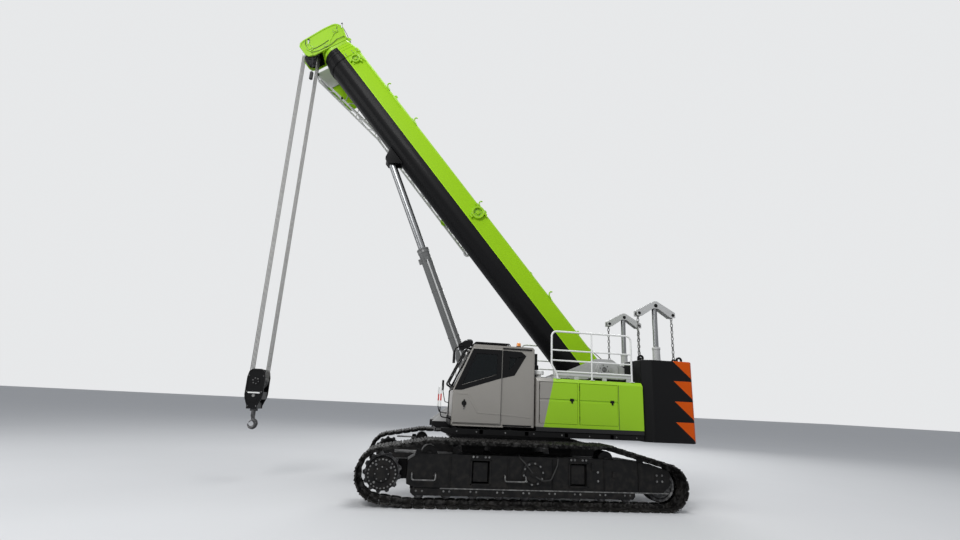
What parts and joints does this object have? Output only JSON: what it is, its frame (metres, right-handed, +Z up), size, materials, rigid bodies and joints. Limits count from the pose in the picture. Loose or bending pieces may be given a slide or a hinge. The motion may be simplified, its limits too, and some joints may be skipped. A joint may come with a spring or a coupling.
{
  "type": "telescopic crawler crane",
  "caption": "Telescopic boom crane on crawler tracks with cab, hoods, counterweight, luffing cylinder, stowed lattice jib and hook block.",
  "frame": {"origin": "On the ground, at the middle of the machine's bounding box; the slewing axis is 0.992 m behind it.", "axes": "+Z up, -Y the way the boom points, +X the operator's cab side."},
  "size_m": [4.68, 9.8438, 11.5766],
  "materials": {
    "lime_paint": "gloss lime green machine paint",
    "black_paint": "satin near-black machine paint",
    "warm_grey_paint": "satin warm light grey paint",
    "pale_grey_paint": "satin pale grey paint",
    "white_paint": "gloss white paint on tube",
    "dark_steel": "black chassis paint with wear",
    "track_steel": "worn dark track steel with polished grousers",
    "chrome": "hard chromed rod",
    "forged_steel": "forged and painted steel",
    "wire_rope": "greased wire rope",
    "tinted_glass": "dark tinted safety glass",
    "seat_fabric": "dark woven seat cover"
  },
  "bodies": {
    "undercarriage": {"carbody": "dark_steel", "front_axle_beam": "dark_steel", "rear_axle_beam": "dark_steel", "slewing_ring": "dark_steel", "left_track_frame": "dark_steel", "right_track_frame": "dark_steel", "left_track": "track_steel", "right_track": "track_steel", "left_drive_sprocket": "dark_steel", "right_drive_sprocket": "dark_steel", "left_idler": "dark_steel", "right_idler": "dark_steel", "left_track_rollers": "dark_steel", "right_track_rollers": "dark_steel"},
    "upperstructure": {"turntable_frame": "pale_grey_paint", "main_winch": "black_paint", "auxiliary_winch": "black_paint", "cab_shell": "warm_grey_paint", "cab_windscreen": "tinted_glass", "cab_quarter_glass": "tinted_glass", "cab_right_glass": "tinted_glass", "cab_roof_glass": "tinted_glass", "cab_rear_glass": "tinted_glass", "operator_seat": "seat_fabric", "control_console": "black_paint", "left_hood": "lime_paint", "right_hood": "lime_paint", "engine_block": "dark_steel", "hydraulic_tank": "dark_steel", "fuel_tank": "black_paint", "counterweight": "black_paint", "left_counterweight_lift": "pale_grey_paint", "right_counterweight_lift": "pale_grey_paint", "left_handrail": "white_paint", "right_handrail": "white_paint"},
    "cab_door": {"cab_door": "warm_grey_paint", "cab_door_glass": "tinted_glass"},
    "left_front_hood_door": {"left_front_hood_door": "lime_paint"},
    "left_rear_hood_door": {"left_rear_hood_door": "lime_paint"},
    "right_front_hood_door": {"right_front_hood_door": "lime_paint"},
    "right_rear_hood_door": {"right_rear_hood_door": "lime_paint"},
    "boom_base": {"boom_base_section": "lime_paint", "fly_jib": "lime_paint"},
    "boom_section_2": {"boom_section_2": "lime_paint"},
    "boom_section_3": {"boom_section_3": "lime_paint"},
    "boom_section_4": {"boom_section_4": "lime_paint"},
    "boom_section_5": {"boom_section_5": "lime_paint", "boom_head": "lime_paint", "head_sheaves": "forged_steel", "guide_sheaves": "forged_steel"},
    "luffing_rod": {"luffing_cylinder_rod": "chrome"},
    "luffing_barrel": {"luffing_cylinder_barrel": "black_paint"},
    "rope_falls": {"hoist_rope_falls": "wire_rope"},
    "hook_block": {"hook_block": "black_paint", "hook_block_sheaves": "forged_steel"},
    "hook": {"hook": "forged_steel"}
  },
  "joints": [
    {"name": "slew", "type": "hinge", "parent": "undercarriage", "child": "upperstructure", "pos_m": [0, 0.99187, 1], "axis": [0, 0, 1], "continuous": true},
    {"name": "cab_door_slide", "type": "slide", "parent": "upperstructure", "child": "cab_door", "axis": [0, 1, 0], "range_m": [0, 0.74]},
    {"name": "left_front_hood_door_swing", "type": "hinge", "parent": "upperstructure", "child": "left_front_hood_door", "pos_m": [1.5, 1.39787, 1.9], "axis": [0, 0, 1], "range_deg": [-90, 0]},
    {"name": "left_rear_hood_door_swing", "type": "hinge", "parent": "upperstructure", "child": "left_rear_hood_door", "pos_m": [1.5, 2.27787, 1.9], "axis": [0, 0, 1], "range_deg": [-90, 0]},
    {"name": "right_front_hood_door_swing", "type": "hinge", "parent": "upperstructure", "child": "right_front_hood_door", "pos_m": [-1.5, 1.39787, 1.9], "axis": [0, 0, 1], "range_deg": [0, 90]},
    {"name": "right_rear_hood_door_swing", "type": "hinge", "parent": "upperstructure", "child": "right_rear_hood_door", "pos_m": [-1.5, 2.27787, 1.9], "axis": [0, 0, 1], "range_deg": [0, 90]},
    {"name": "boom_luff", "type": "hinge", "parent": "upperstructure", "child": "boom_base", "pos_m": [0, 3.24187, 2.75], "axis": [-1, 0, 0], "range_deg": [-50, 30]},
    {"name": "luffing_cylinder_swing", "type": "hinge", "parent": "boom_base", "child": "luffing_rod", "pos_m": [0, -2.26821, 7.83872], "axis": [-1, 0, 0], "range_deg": [-10, 6]},
    {"name": "luffing_cylinder_stroke", "type": "slide", "parent": "luffing_rod", "child": "luffing_barrel", "axis": [0, 0.3947, -0.9188], "range_m": [-2.201, 1.321]},
    {"name": "telescope", "type": "slide", "parent": "boom_base", "child": "boom_section_2", "axis": [0, -0.6428, 0.766], "range_m": [0, 7.9]},
    {"name": "telescope_section_3", "type": "slide", "parent": "boom_section_2", "child": "boom_section_3", "axis": [0, -0.6428, 0.766], "range_m": [0, 7.9]},
    {"name": "telescope_section_4", "type": "slide", "parent": "boom_section_3", "child": "boom_section_4", "axis": [0, -0.6428, 0.766], "range_m": [0, 7.9]},
    {"name": "telescope_section_5", "type": "slide", "parent": "boom_section_4", "child": "boom_section_5", "axis": [0, -0.6428, 0.766], "range_m": [0, 7.9]},
    {"name": "hook_plumb", "type": "hinge", "parent": "boom_section_5", "child": "rope_falls", "pos_m": [0, -4.65295, 10.68075], "axis": [-1, 0, 0], "range_deg": [-30, 50]},
    {"name": "hook_hoist", "type": "slide", "parent": "rope_falls", "child": "hook_block", "axis": [0, 0, -1], "range_m": [-7.85, 0], "deforming": ["hoist_rope_falls"]},
    {"name": "hook_swivel", "type": "hinge", "parent": "hook_block", "child": "hook", "pos_m": [0, -4.65295, 1.45], "axis": [0, 0, 1], "continuous": true}
  ],
  "couplings": [
    {"joint": "luffing_cylinder_swing", "follows": "boom_luff", "ratio": 0.2},
    {"joint": "luffing_cylinder_stroke", "follows": "boom_luff", "m_per_rad": 2.521},
    {"joint": "hook_plumb", "follows": "boom_luff", "ratio": -1},
    {"joint": "telescope_section_3", "follows": "telescope", "ratio": 1},
    {"joint": "telescope_section_4", "follows": "telescope", "ratio": 1},
    {"joint": "telescope_section_5", "follows": "telescope", "ratio": 1}
  ]
}
